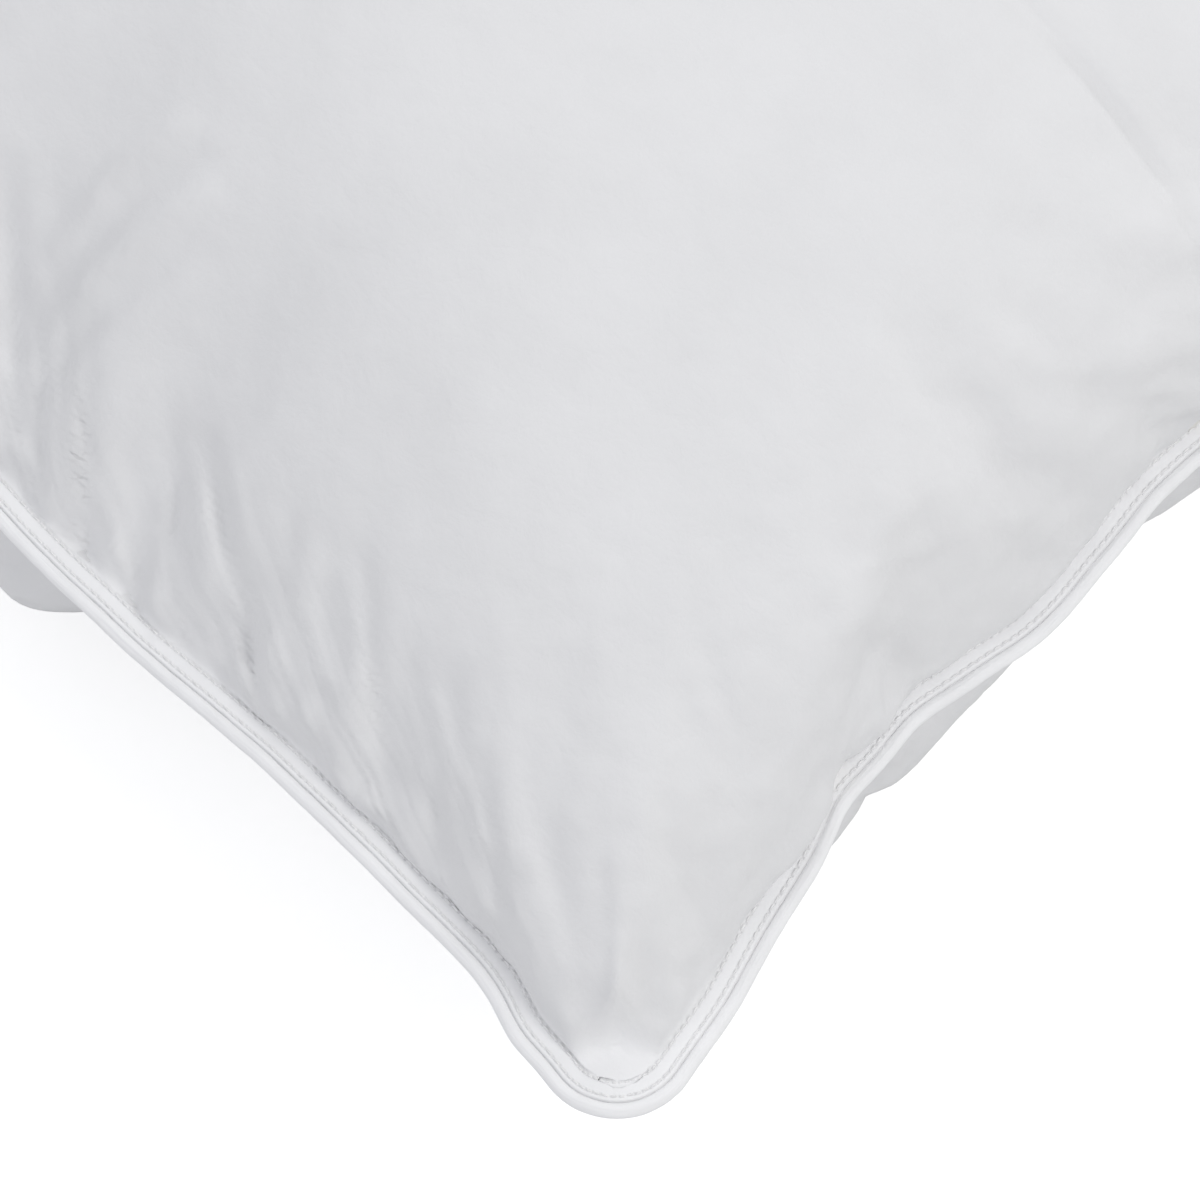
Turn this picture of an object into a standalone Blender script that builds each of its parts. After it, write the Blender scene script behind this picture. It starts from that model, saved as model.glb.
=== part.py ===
"""A filled bed pillow with a corded edge, lying flat: metres, +Z up, origin under its middle.

Two ticking panels meet all round in a flange. Their raw edges turn in under themselves, the
folded piping strip with its cord lies between them, and two rows of lockstitch hold the stack.
Every piece is swept round one edge outline, so all of them follow the same sizes.
"""

import math

import bmesh
import bpy
from mathutils import Vector

# Overall size, piping included
LENGTH = 0.715
WIDTH = 0.468
HEIGHT = 0.200
SEAM_HEIGHT = 0.088  # middle of the flange above the floor

# Edge outline: rounded ears at the corners, sides drawn in between them by the filling
WAIST_LENGTH = 0.652  # over the piping at the middle of the short sides
WAIST_WIDTH = 0.436  # over the piping at the middle of the long sides
CORNER_RADIUS = 0.021
EAR_ANGLE_LONG = math.radians(13)  # how far a long side leans inwards where it leaves an ear
EAR_ANGLE_SHORT = math.radians(16.5)

# Crown of the filled panels
CROWN_POWER = 2.4  # higher is flatter on top
CROWN_ROUNDNESS = 0.52  # lower rises more steeply from the flange
UNDERSIDE_FULLNESS = 1.45  # how far the underside would bulge with no floor under it
FLOOR_BEND = 0.020  # height over which the underside curves onto the floor

# Cloth, cord and thread
TICKING = 0.00035
PIPING_CLOTH = 0.00030
PIPING_RADIUS = 0.0022
THREAD_RADIUS = 0.00030
LABEL_THICKNESS = 0.00030
GAP = 0.0003  # between neighbours everywhere
LIP = 0.0002  # between the two layers of the piping strip's tail

# Flange, measured inwards from the outside of the piping
OUTER_ROW = 0.0054
CLOSING_ROW = 0.0073
INNER_ROW = 0.0092
BODY_LINE = 0.0100  # where the panels leave the flange and rise
TAIL_BEYOND = 0.0030  # piping strip's tail past the body line
TURNING_BEYOND = 0.0040  # panels' turned-in edge past the body line

CLOSING_LENGTH = 0.180  # of the filling opening, on the -X side
LABEL_WIDTH = 0.032
LABEL_DROP = 0.040  # length that hangs below the flange
LABEL_FROM_MIDDLE = 0.150  # from the middle of the +Y side to the label's own middle, towards -X

# Points round the outline, for each quarter
ARC_STEPS = 6
LONG_STEPS = 5
SHORT_STEPS = 4
CORD_SIDES = 8
THREAD_SIDES = 5
ROUND_OUT_STEPS = 10
ROUND_IN_STEPS = 8
FILL_RINGS = (0.18, 0.35, 0.51, 0.65, 0.78, 0.89, 0.96, 1.0)  # shares of the filling's own edge

# Heights in the flange's stack, above and below the seam's middle
TAIL_FACE = LIP / 2 + PIPING_CLOTH
TURNING_FACE = TAIL_FACE + GAP
TURNING_BACK = TURNING_FACE + TICKING
PANEL_BACK = TURNING_BACK + GAP
PANEL_FACE = PANEL_BACK + TICKING
FOLD_EDGE = PIPING_RADIUS + math.sqrt((PIPING_RADIUS + GAP) ** 2 - TURNING_FACE**2)
CROWN = HEIGHT - SEAM_HEIGHT - PANEL_FACE
DROP = SEAM_HEIGHT - PANEL_FACE


def clear_scene():
    for obj in list(bpy.data.objects):
        bpy.data.objects.remove(obj, do_unlink=True)


def material(name, colour, roughness):
    made = bpy.data.materials.new(name)
    made.use_nodes = True
    shader = made.node_tree.nodes["Principled BSDF"]
    shader.inputs["Base Color"].default_value = (*colour, 1.0)
    shader.inputs["Roughness"].default_value = roughness
    shader.inputs["Metallic"].default_value = 0.0
    return made


def quarter_outline():
    """(point, outward normal) from the middle of the +X side to the middle of the +Y side."""
    centre = Vector((LENGTH / 2 - CORNER_RADIUS, WIDTH / 2 - CORNER_RADIUS))
    short_out = Vector((math.cos(EAR_ANGLE_SHORT), -math.sin(EAR_ANGLE_SHORT)))
    long_out = Vector((-math.sin(EAR_ANGLE_LONG), math.cos(EAR_ANGLE_LONG)))
    short_end = centre + CORNER_RADIUS * short_out
    long_end = centre + CORNER_RADIUS * long_out
    short_rise = short_end.x - WAIST_LENGTH / 2
    long_rise = long_end.y - WAIST_WIDTH / 2
    short_power = math.tan(EAR_ANGLE_SHORT) * short_end.y / short_rise
    long_power = math.tan(EAR_ANGLE_LONG) * long_end.x / long_rise
    found = []
    for step in range(SHORT_STEPS):
        share = step / SHORT_STEPS
        lean = math.tan(EAR_ANGLE_SHORT) * share ** (short_power - 1) if share else 0.0
        x = WAIST_LENGTH / 2 + short_rise * share**short_power
        found.append((Vector((x, short_end.y * share)), Vector((1, -lean)).normalized()))
    sweep = math.pi / 2 + EAR_ANGLE_SHORT + EAR_ANGLE_LONG
    for step in range(ARC_STEPS + 1):
        angle = sweep * step / ARC_STEPS - EAR_ANGLE_SHORT
        out = Vector((math.cos(angle), math.sin(angle)))
        found.append((centre + CORNER_RADIUS * out, out))
    for step in range(LONG_STEPS - 1, -1, -1):
        share = step / LONG_STEPS
        lean = math.tan(EAR_ANGLE_LONG) * share ** (long_power - 1) if share else 0.0
        y = WAIST_WIDTH / 2 + long_rise * share**long_power
        found.append((Vector((long_end.x * share, y)), Vector((-lean, 1)).normalized()))
    return found


def outline():
    """The whole edge, anticlockwise from the middle of the +X side, each point once."""
    first = quarter_outline()
    found = list(first)
    for signs in ((-1, 1), (-1, -1), (1, -1)):
        flip = Vector(signs)
        turned = [(p * flip, n * flip) for p, n in first]
        if flip.x * flip.y < 0:
            turned.reverse()
        found += turned[1:]
    return found[:-1]


EDGE = outline()
BODY = [p - n * BODY_LINE for p, n in EDGE]
EAR = quarter_outline()[SHORT_STEPS + ARC_STEPS // 2]
EAR_TIP = EAR[0] - EAR[1] * BODY_LINE
REACH = min(p.dot(n) for p, (_, n) in zip(BODY, EDGE))
FILL_EDGE = 1 - (TURNING_BEYOND + 2 * GAP) / REACH
FILL_SHARES = [share * FILL_EDGE for share in FILL_RINGS]
SKIN_SHARES = [*FILL_SHARES, (1 + FILL_EDGE) / 2]


def inset(distance):
    return [p - n * distance for p, n in EDGE]


def crown_share(share):
    return (1 - share**CROWN_POWER) ** CROWN_ROUNDNESS


def rise(share, point):
    """Fullness, 0 at the body line to 1 at the middle, lower towards an ear than towards a side."""
    nearness = min(abs(point.x) / EAR_TIP.x, abs(point.y) / EAR_TIP.y, 1.0)
    return crown_share(share) * crown_share(share * nearness)


def top_height(share, point):
    return CROWN * rise(share, point)


def under_depth(share, point):
    """The underside's bulge, rounded off into a flat patch where the floor stops it."""
    free = DROP * UNDERSIDE_FULLNESS * rise(share, point)
    near = max(FLOOR_BEND - abs(free - DROP), 0) / FLOOR_BEND
    return min(free, DROP) - near * near * FLOOR_BEND / 4


def slant(height, share, point):
    """Length along Z of a unit of thickness, where the panel slopes."""
    step = 0.002
    change = height(min(share + step, 1.0), point) - height(share - step if share else 0.0, point)
    return math.hypot(1, change / (2 * step * point.length))


def ring(points, z):
    return [(p.x, p.y, z) for p in points]


def dome_ring(share, height, side, depth):
    """One ring of a panel's face at this share of the body line, sunk by depth along its slope."""
    found = []
    for p in BODY:
        z = PANEL_FACE + height(share, p) - depth * slant(height, share, p)
        found.append((p.x * share, p.y * share, SEAM_HEIGHT + side * z))
    return found


def pole(height, side, depth):
    return (0.0, 0.0, SEAM_HEIGHT + side * (PANEL_FACE + height(0.0, BODY[0]) - depth))


def body(name, rings, look, start=None, end=None):
    """One closed solid from rings of points, capped by its poles or, with none, closed into a loop.

    Each four-sided patch is split from its far ring to its near one, so faces that lie over
    each other are split the same way and keep their gap all over.
    """
    bm = bmesh.new()
    made = [[bm.verts.new(p) for p in points] for points in rings]
    count = len(made[0])
    pairs = list(zip(made, made[1:]))
    if start is None:
        pairs.append((made[-1], made[0]))
    for one, two in pairs:
        far, near = (one, two) if one[0].co.xy.length > two[0].co.xy.length else (two, one)
        for i in range(count):
            j = (i + 1) % count
            bm.faces.new((far[i], far[j], near[j]))
            bm.faces.new((far[i], near[j], near[i]))
    for cap, points in ((start, made[0]), (end, made[-1])):
        if cap is not None:
            middle = bm.verts.new(cap)
            for i in range(count):
                bm.faces.new((points[i], points[(i + 1) % count], middle))
    return finish(name, bm, look)


def strip(name, sections, look):
    """One closed solid from a row of flat sections, capped at both ends."""
    bm = bmesh.new()
    made = [[bm.verts.new(p) for p in points] for points in sections]
    for one, two in zip(made, made[1:]):
        for i in range(len(one)):
            j = (i + 1) % len(one)
            bm.faces.new((one[i], one[j], two[j], two[i]))
    bm.faces.new(made[0])
    bm.faces.new(made[-1])
    return finish(name, bm, look)


def finish(name, bm, look):
    bmesh.ops.recalc_face_normals(bm, faces=bm.faces)
    mesh = bpy.data.meshes.new(name)
    bm.to_mesh(mesh)
    bm.free()
    mesh.materials.append(look)
    mesh.shade_smooth()
    mesh.set_sharp_from_angle(angle=math.radians(40))
    obj = bpy.data.objects.new(name, mesh)
    bpy.context.collection.objects.link(obj)
    return obj


def panel(name, height, side, look):
    """A ticking panel: crowned skin, flat flange, and its edge turned in under the flange."""
    turning_end = BODY_LINE + TURNING_BEYOND
    flange = (
        (BODY_LINE, PANEL_FACE),
        (FOLD_EDGE, PANEL_FACE),
        (FOLD_EDGE, TURNING_FACE),
        (turning_end, TURNING_FACE),
        (turning_end, TURNING_BACK),
        (FOLD_EDGE + TICKING, TURNING_BACK),
        (FOLD_EDGE + TICKING, PANEL_BACK),
        (BODY_LINE, PANEL_BACK),
    )
    rings = [dome_ring(share, height, side, 0.0) for share in SKIN_SHARES]
    rings += [ring(inset(far), SEAM_HEIGHT + side * z) for far, z in flange]
    rings += [dome_ring(share, height, side, TICKING) for share in reversed(SKIN_SHARES)]
    return body(name, rings, look, pole(height, side, 0.0), pole(height, side, TICKING))


def down_fill(look):
    """The filling as one body, just inside both panels and clear of their turned-in edges."""
    depth = TICKING + GAP
    rings = [dome_ring(share, top_height, 1, depth) for share in FILL_SHARES]
    rings += [dome_ring(share, under_depth, -1, depth) for share in reversed(FILL_SHARES)]
    return body("down_fill", rings, look, pole(top_height, 1, depth), pole(under_depth, -1, depth))


def piping_arc(radius, start, steps):
    """(distance inwards, height) points from the upper tail, round the outside, to the lower one."""
    found = []
    for step in range(steps + 1):
        angle = start + (2 * math.pi - 2 * start) * step / steps
        found.append((PIPING_RADIUS + radius * math.cos(angle), radius * math.sin(angle)))
    return found


def piping_cover(look):
    """The folded strip: round the cord, then two tails side by side between the panels."""
    inner_radius = PIPING_RADIUS - PIPING_CLOTH
    tail_end = BODY_LINE + TAIL_BEYOND
    outside = piping_arc(PIPING_RADIUS, math.asin(TAIL_FACE / PIPING_RADIUS), ROUND_OUT_STEPS)
    inside = piping_arc(inner_radius, math.asin(LIP / 2 / inner_radius), ROUND_IN_STEPS)
    lower_tail = [(tail_end, -TAIL_FACE), (tail_end, -LIP / 2)]
    upper_tail = [(tail_end, LIP / 2), (tail_end, TAIL_FACE)]
    section = outside + lower_tail + inside[::-1] + upper_tail
    return body("piping_cover", [ring(inset(far), SEAM_HEIGHT + z) for far, z in section], look)


def round_section(far, z, radius, sides):
    turns = [2 * math.pi * i / sides for i in range(sides)]
    return [(far + radius * math.cos(turn), z + radius * math.sin(turn)) for turn in turns]


def loop_of(name, far, z, radius, sides, look):
    """A cord or a thread's run all the way round, this far in from the edge."""
    section = round_section(far, z, radius, sides)
    return body(name, [ring(inset(d), SEAM_HEIGHT + up) for d, up in section], look)


def between(side, axis, value):
    """(point, outward normal) where this stretch of the outline passes the value on that axis."""
    for (p, n), (q, m) in zip(side, side[1:]):
        if p[axis] >= value >= q[axis]:
            share = (p[axis] - value) / (p[axis] - q[axis])
            return p.lerp(q, share), n.lerp(m, share)
    raise ValueError("that place is past the end of the side")


def closing_thread(name, z, look):
    """A thread's run along the filling opening, in the middle of the -X side."""
    half = len(EDGE) // 2
    side = EDGE[half - SHORT_STEPS : half + SHORT_STEPS + 1]
    reach = CLOSING_LENGTH / 2
    run = [between(side, 1, reach)]
    run += [(p, n) for p, n in side if abs(p.y) < reach - THREAD_RADIUS]
    run.append(between(side, 1, -reach))
    sections = []
    for point, out in run:
        offsets = round_section(CLOSING_ROW, z, THREAD_RADIUS, THREAD_SIDES)
        sections.append([(*(point - out * far), SEAM_HEIGHT + up) for far, up in offsets])
    return strip(name, sections, look)


def care_label(look):
    """A ribbon sewn under the flange by the inner row, which hangs down outside that row."""
    quarter = len(EDGE) // 4
    side = EDGE[quarter - LONG_STEPS : quarter + LONG_STEPS + 1]
    ends = [between(side, 0, -LABEL_FROM_MIDDLE + way * LABEL_WIDTH / 2) for way in (-1, 1)]
    under = PANEL_FACE + GAP
    hang = INNER_ROW - THREAD_RADIUS - GAP
    path = (
        (BODY_LINE - GAP, under, 0.0, LABEL_THICKNESS),
        (hang, under, LABEL_THICKNESS, LABEL_THICKNESS),
        (hang, under + LABEL_DROP, LABEL_THICKNESS, 0.0),
    )
    sections = []
    for far, down, inner_step, lower_step in path:
        back = [(*(p - n * (far - inner_step)), SEAM_HEIGHT - down) for p, n in ends]
        front = [(*(p - n * far), SEAM_HEIGHT - down - lower_step) for p, n in ends]
        sections.append([back[0], back[1], front[1], front[0]])
    return strip("care_label", sections, look)


def main():
    clear_scene()
    ticking = material("down_proof_ticking", (0.83, 0.83, 0.84), 0.85)
    piping = material("piping_cloth", (0.86, 0.86, 0.86), 0.8)
    cotton_cord = material("cotton_cord", (0.80, 0.78, 0.73), 0.9)
    thread = material("sewing_thread", (0.88, 0.88, 0.88), 0.6)
    down = material("down", (0.85, 0.84, 0.81), 1.0)
    satin = material("label_satin", (0.90, 0.90, 0.91), 0.4)

    panel("top_panel", top_height, 1, ticking)
    panel("bottom_panel", under_depth, -1, ticking)
    down_fill(down)
    piping_cover(piping)
    cord_radius = PIPING_RADIUS - PIPING_CLOTH - GAP
    loop_of("piping_cord", PIPING_RADIUS, 0.0, cord_radius, CORD_SIDES, cotton_cord)

    above = PANEL_FACE + GAP + THREAD_RADIUS
    below_label = above + LABEL_THICKNESS + GAP
    loop_of("outer_seam_needle_thread", OUTER_ROW, above, THREAD_RADIUS, THREAD_SIDES, thread)
    loop_of("outer_seam_bobbin_thread", OUTER_ROW, -above, THREAD_RADIUS, THREAD_SIDES, thread)
    loop_of("inner_seam_needle_thread", INNER_ROW, above, THREAD_RADIUS, THREAD_SIDES, thread)
    loop_of("inner_seam_bobbin_thread", INNER_ROW, -below_label, THREAD_RADIUS, THREAD_SIDES, thread)
    closing_thread("closing_seam_needle_thread", above, thread)
    closing_thread("closing_seam_bobbin_thread", -above, thread)
    care_label(satin)


main()
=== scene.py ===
# %% [markdown]
# # A down pillow with a corded edge
# The pillow is two panels of down-proof cotton, sewn together all round. The sewn edge is a flat
# flange, with a cord in a folded strip of cloth along the outside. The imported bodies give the
# sizes, so each piece lies where its plain solid does.

# %% Load the fixed frame
import math

import bmesh
import bpy
import numpy as np
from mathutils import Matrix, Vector


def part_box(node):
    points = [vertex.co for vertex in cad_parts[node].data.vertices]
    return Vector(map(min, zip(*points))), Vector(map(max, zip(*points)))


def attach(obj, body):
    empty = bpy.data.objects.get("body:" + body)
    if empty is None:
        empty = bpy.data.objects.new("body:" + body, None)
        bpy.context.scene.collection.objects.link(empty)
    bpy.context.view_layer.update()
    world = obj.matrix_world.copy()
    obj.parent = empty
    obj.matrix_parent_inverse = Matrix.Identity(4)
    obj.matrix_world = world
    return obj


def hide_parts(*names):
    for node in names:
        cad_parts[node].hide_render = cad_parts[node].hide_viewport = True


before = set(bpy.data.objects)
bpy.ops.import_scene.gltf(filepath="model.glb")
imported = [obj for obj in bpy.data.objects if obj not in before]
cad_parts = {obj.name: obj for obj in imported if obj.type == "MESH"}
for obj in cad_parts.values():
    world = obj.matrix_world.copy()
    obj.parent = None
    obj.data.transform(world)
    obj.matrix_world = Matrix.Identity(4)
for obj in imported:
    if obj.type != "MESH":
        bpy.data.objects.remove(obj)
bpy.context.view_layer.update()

scene = bpy.context.scene

# %% [markdown]
# ## Sizes read from the frame
# A sewer measures everything from the outside of the piping: how far in each row of stitches
# lies, and where the panels leave the flange. The distances are read back from the solids.

# %% Read the sizes
GAP = 0.0003  # between neighbours in the seam
THREAD_RADIUS = 0.0003
TICKING = 0.00035
piping_low, piping_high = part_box("piping_cover")
cord_low, cord_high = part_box("piping_cord")
HALF_LENGTH = piping_high.x
HALF_WIDTH = piping_high.y
PIPING_RADIUS = (piping_high.z - piping_low.z) / 2
SEAM_HEIGHT = (piping_high.z + piping_low.z) / 2
CROWN_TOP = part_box("top_panel")[1].z
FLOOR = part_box("bottom_panel")[0].z
CORD_RADIUS = (cord_high.z - cord_low.z) / 2


def half_across(node, axis):
    """Half the size of a node's outside at the middle of its sides, along this axis."""
    points = [v.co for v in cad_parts[node].data.vertices]
    return max(abs(p[axis]) for p in points if abs(p[1 - axis]) < 0.001)


def row_distance(node):
    """How far in from the outside of the piping the middle of this thread runs."""
    return half_across("piping_cover", 0) - half_across(node, 0) + THREAD_RADIUS


OUTER_ROW = row_distance("outer_seam_needle_thread")
CLOSING_ROW = row_distance("closing_seam_needle_thread")
INNER_ROW = row_distance("inner_seam_needle_thread")
BODY_LINE = INNER_ROW + 0.0008  # where the panels leave the flange and rise
PANEL_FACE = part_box("outer_seam_needle_thread")[0].z - SEAM_HEIGHT - GAP
print("rows in mm:", [round(d * 1000, 2) for d in (OUTER_ROW, CLOSING_ROW, INNER_ROW)])

# %% [markdown]
# ## The edge line
# Filling draws the sides of a pillow in between its corners, and leaves the corners standing out
# as rounded ears. Each side is a power curve that meets the ear's arc at a slant. Points on the
# line keep their outward direction and their distance from the tip of one ear, so that every
# later piece can be swept along it.

# %% Draw the edge line
CORNER_RADIUS = 0.021
EAR_LEAN_LONG = math.radians(13)
EAR_LEAN_SHORT = math.radians(16.5)
HALF_WAIST_LENGTH = half_across("piping_cover", 0)
HALF_WAIST_WIDTH = half_across("piping_cover", 1)
POINTS_A_STRETCH = 240


def side_stretch(waist, end_across, end_along, lean):
    """(along, across, slope) points of half a side, from its middle to where the ear starts."""
    rise = end_across - waist
    power = math.tan(lean) * end_along / rise
    share = np.linspace(0, 1, POINTS_A_STRETCH, endpoint=False)
    return end_along * share, waist + rise * share**power, math.tan(lean) * share ** (power - 1)


def edge_line():
    """Points and outward directions, anticlockwise from the ear at +X and -Y."""
    middle = np.array((HALF_LENGTH - CORNER_RADIUS, HALF_WIDTH - CORNER_RADIUS))
    angles = np.linspace(-EAR_LEAN_SHORT, math.pi / 2 + EAR_LEAN_LONG, POINTS_A_STRETCH)
    ear_out = np.stack((np.cos(angles), np.sin(angles)), 1)
    ear = middle + CORNER_RADIUS * ear_out
    y, x, slope = side_stretch(HALF_WAIST_LENGTH, ear[0, 0], ear[0, 1], EAR_LEAN_SHORT)
    short_side, short_out = np.stack((x, y), 1), np.stack((np.ones_like(slope), -slope), 1)
    x, y, slope = side_stretch(HALF_WAIST_WIDTH, ear[-1, 1], ear[-1, 0], EAR_LEAN_LONG)
    long_side, long_out = np.stack((x, y), 1), np.stack((-slope, np.ones_like(slope)), 1)
    points = np.concatenate((short_side, ear, long_side[::-1]))
    outs = np.concatenate((short_out, ear_out, long_out[::-1]))
    outs /= np.linalg.norm(outs, axis=1)[:, None]
    loop_points, loop_outs = points, outs
    for flip in ((-1, 1), (-1, -1), (1, -1)):
        order = slice(-2, None, -1) if flip[0] * flip[1] < 0 else slice(1, None)
        loop_points = np.concatenate((loop_points, (points * flip)[order]))
        loop_outs = np.concatenate((loop_outs, (outs * flip)[order]))
    start = len(loop_points) - 1 - (2 * POINTS_A_STRETCH - POINTS_A_STRETCH // 2)
    return np.roll(loop_points[:-1], -start, 0), np.roll(loop_outs[:-1], -start, 0)


EDGE_POINTS, EDGE_OUTS = edge_line()
steps = np.linalg.norm(np.diff(EDGE_POINTS, axis=0, append=EDGE_POINTS[:1]), axis=1)
PERIMETER = steps.sum()
EDGE_ALONG = np.concatenate(([0.0], np.cumsum(steps)[:-1]))
print("edge line:", round(PERIMETER, 3), "m round, ear tip at", EDGE_POINTS[0].round(4))

# %% [markdown]
# A sewn edge is never quite straight: it drifts in and out with the filling behind it, and waves
# up and down a little. Each bend is a smooth bump at a place along the edge. `seam` turns a place
# along the edge, a distance in from the piping and a height in the flange's stack into a point,
# so all pieces follow the same drift.

# %% Let the edge drift
BENDS_OUT = (  # place along the edge from the ear tip, its half width, how far outwards
    (-0.037, 0.010, 0.0017),
    (-0.060, 0.014, -0.0010),
    (-0.110, 0.035, 0.0018),
    (-0.195, 0.060, 0.0055),
    (-0.245, 0.030, 0.0015),
    (0.045, 0.022, 0.0019),
    (0.114, 0.014, -0.0036),
    (0.143, 0.017, -0.0034),
    (0.196, 0.026, 0.0060),
    (0.228, 0.018, 0.0022),
    (-0.330, 0.070, 0.0020),
    (0.520, 0.060, -0.0025),
    (0.640, 0.050, 0.0020),
    (-0.560, 0.060, -0.0020),
)
BENDS_UP = (  # the same, how far up
    (0.118, 0.030, 0.0030),
    (0.060, 0.030, -0.0015),
    (0.190, 0.030, -0.0020),
    (-0.120, 0.050, 0.0015),
    (-0.240, 0.050, -0.0020),
    (0.420, 0.080, 0.0030),
    (-0.450, 0.080, 0.0025),
    (0.760, 0.090, -0.0030),
)


def bumps(along, bends):
    """The sum of these smooth bumps at places along the edge."""
    total = np.zeros_like(np.asarray(along, float))
    for place, width, height in bends:
        away = (along - place + PERIMETER / 2) % PERIMETER - PERIMETER / 2
        total = total + height * np.exp(-((away / width) ** 2))
    return total


def ripple(along):
    """Fine up and down waves of the flange, a few to every ten centimetres."""
    turn = 2 * math.pi * along / PERIMETER
    waves = np.sin(41 * turn + 0.7) + 0.8 * np.sin(67 * turn + 2.1) + 0.6 * np.sin(103 * turn + 4.0)
    return 0.00022 * waves


def on_edge(along, table):
    """The x and y of this table, EDGE_POINTS or EDGE_OUTS, at places along the edge."""
    return [np.interp(along, EDGE_ALONG, table[:, k], period=PERIMETER) for k in (0, 1)]


def seam(along, inward, up):
    """Points (n, 3) at these places along the edge, distances in from it and heights."""
    along, inward, up = np.broadcast_arrays(np.asarray(along, float), inward, up)
    p, n = on_edge(along, EDGE_POINTS), on_edge(along, EDGE_OUTS)
    out = bumps(along, BENDS_OUT) - inward
    height = SEAM_HEIGHT + bumps(along, BENDS_UP) + ripple(along) + up
    return np.stack((p[0] + n[0] * out, p[1] + n[1] * out, height), -1)


# %% [markdown]
# ## The camera
# The view looks down on one ear from about sixty degrees up, through a long lens. The tip of the
# ear sits low in the frame, and the pillow runs out of it on three sides.

# %% Place the camera
LENS = 138
SENSOR = 36
VIEW_TURN = math.radians(45)
VIEW_UP = math.radians(60)
TIP_DISTANCE = 1.20
TIP_RIGHT = 0.015  # shares of the frame's width
TIP_DOWN = 0.432

cam_back = Vector((math.sin(VIEW_TURN) * math.cos(VIEW_UP),
                   -math.cos(VIEW_TURN) * math.cos(VIEW_UP), math.sin(VIEW_UP)))
cam_right = Vector((math.cos(VIEW_TURN), math.sin(VIEW_TURN), 0))
cam_up = cam_back.cross(cam_right)
tip = Vector(seam(0.0, 0.0, 0.0))
frame_width = TIP_DISTANCE * SENSOR / LENS
bpy.ops.object.camera_add()
camera = bpy.context.object
camera.data.lens = LENS
camera.data.sensor_width = SENSOR
camera.location = (tip - cam_right * TIP_RIGHT * frame_width + cam_up * TIP_DOWN * frame_width
                   + cam_back * TIP_DISTANCE)
camera.rotation_euler = cam_back.to_track_quat("Z", "Y").to_euler()
scene.camera = camera
print("the frame is", round(frame_width * 1000), "mm wide at the tip")

# %% Small tools for objects


def deselect():
    bpy.ops.object.select_all(action="DESELECT")


def apply(obj, modifier):
    deselect()
    obj.select_set(True)
    bpy.context.view_layer.objects.active = obj
    bpy.ops.object.modifier_apply(modifier=modifier.name)


def thicken(obj, thickness, offset):
    """Gives a single sheet of cloth its thickness, inwards (-1) or both ways (0)."""
    solidify = obj.modifiers.new("thickness", "SOLIDIFY")
    solidify.thickness = thickness
    solidify.offset = offset
    apply(obj, solidify)
    obj.data.shade_smooth()


def new_piece(name, points, faces):
    """A closed mesh object from its points and faces, with every face turned outwards."""
    mesh = bpy.data.meshes.new(name)
    mesh.from_pydata(points.tolist(), [], faces)
    made = bpy.data.objects.new(name, mesh)
    scene.collection.objects.link(made)
    bm = bmesh.new()
    bm.from_mesh(mesh)
    bmesh.ops.recalc_face_normals(bm, faces=bm.faces)
    bm.to_mesh(mesh)
    bm.free()
    mesh.shade_smooth()
    return made


def read(items, name):
    """This vector of every item, as an (n, 3) array."""
    found = np.empty(len(items) * 3)
    items.foreach_get(name, found)
    return found.reshape(-1, 3)


def positions(mesh):
    return read(mesh.vertices, "co")


def move_to(obj, points):
    obj.data.vertices.foreach_set("co", np.ascontiguousarray(points, dtype=float).ravel())
    obj.data.update()


def keep_vectors(obj, name, values):
    """Stores one vector a point under this name, for materials to read."""
    made = obj.data.attributes.get(name) or obj.data.attributes.new(name, "FLOAT_VECTOR", "POINT")
    made.data.foreach_set("vector", np.ascontiguousarray(values, dtype=float).ravel())


def stored_vectors(mesh, name):
    return read(mesh.attributes[name].data, "vector")


# %% [markdown]
# ## Lay out the cloth
# Each panel is cut flat, larger than the space it covers: about half a metre by three quarters.
# The filling pushes the middle up, and the spare length along the edges gathers into small
# puckers square to the seam. A dome modelled by hand can't find those, so each panel starts as
# the flat cut, its rim is drawn in, and pressure fills it. The grid is finer towards the
# camera's ear.

# %% Make the flat grid
CUT_LENGTH = 0.730  # between the body lines, before filling
CUT_WIDTH = 0.480
CUT_CORNER = 0.012
COLUMNS = 116
ROWS = 84
COLUMN_FINE = 0.55  # spacing at the finer end, as a share of the average
ROW_FINE = 0.62


def graded(share, fine):
    """0 to 1, with steps that start at this share of the average and widen evenly."""
    return fine * share + (1 - fine) * share * share


def flat_grid(name):
    """A grid over the cut panel, and its flat places."""
    deselect()
    bpy.ops.mesh.primitive_grid_add(x_subdivisions=COLUMNS, y_subdivisions=ROWS, size=2)
    grid = bpy.context.object
    grid.name = name
    unit = (positions(grid.data)[:, :2] + 1) / 2
    x = CUT_LENGTH * (0.5 - graded(1 - unit[:, 0], COLUMN_FINE))
    y = CUT_WIDTH * (graded(unit[:, 1], ROW_FINE) - 0.5)
    return grid, np.stack((x, y), 1)


def with_round_corners(flat):
    """The flat places with the cut's corners rounded, as points at height 0."""
    half = np.array((CUT_LENGTH / 2, CUT_WIDTH / 2))
    past = np.clip((abs(flat) - half + CUT_CORNER) / CUT_CORNER, 0, 1)
    turned = past * np.sqrt(1 - past[:, ::-1] ** 2 / 2) * CUT_CORNER + half - CUT_CORNER
    corner = (past > 0).all(1)[:, None]
    return np.hstack((np.where(corner, np.sign(flat) * turned, flat), np.zeros((len(flat), 1))))


# %% [markdown]
# Every point of the flat cut lies on a line from its middle to some place on the edge. That
# place says where the rim goes when it is drawn in.

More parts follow.
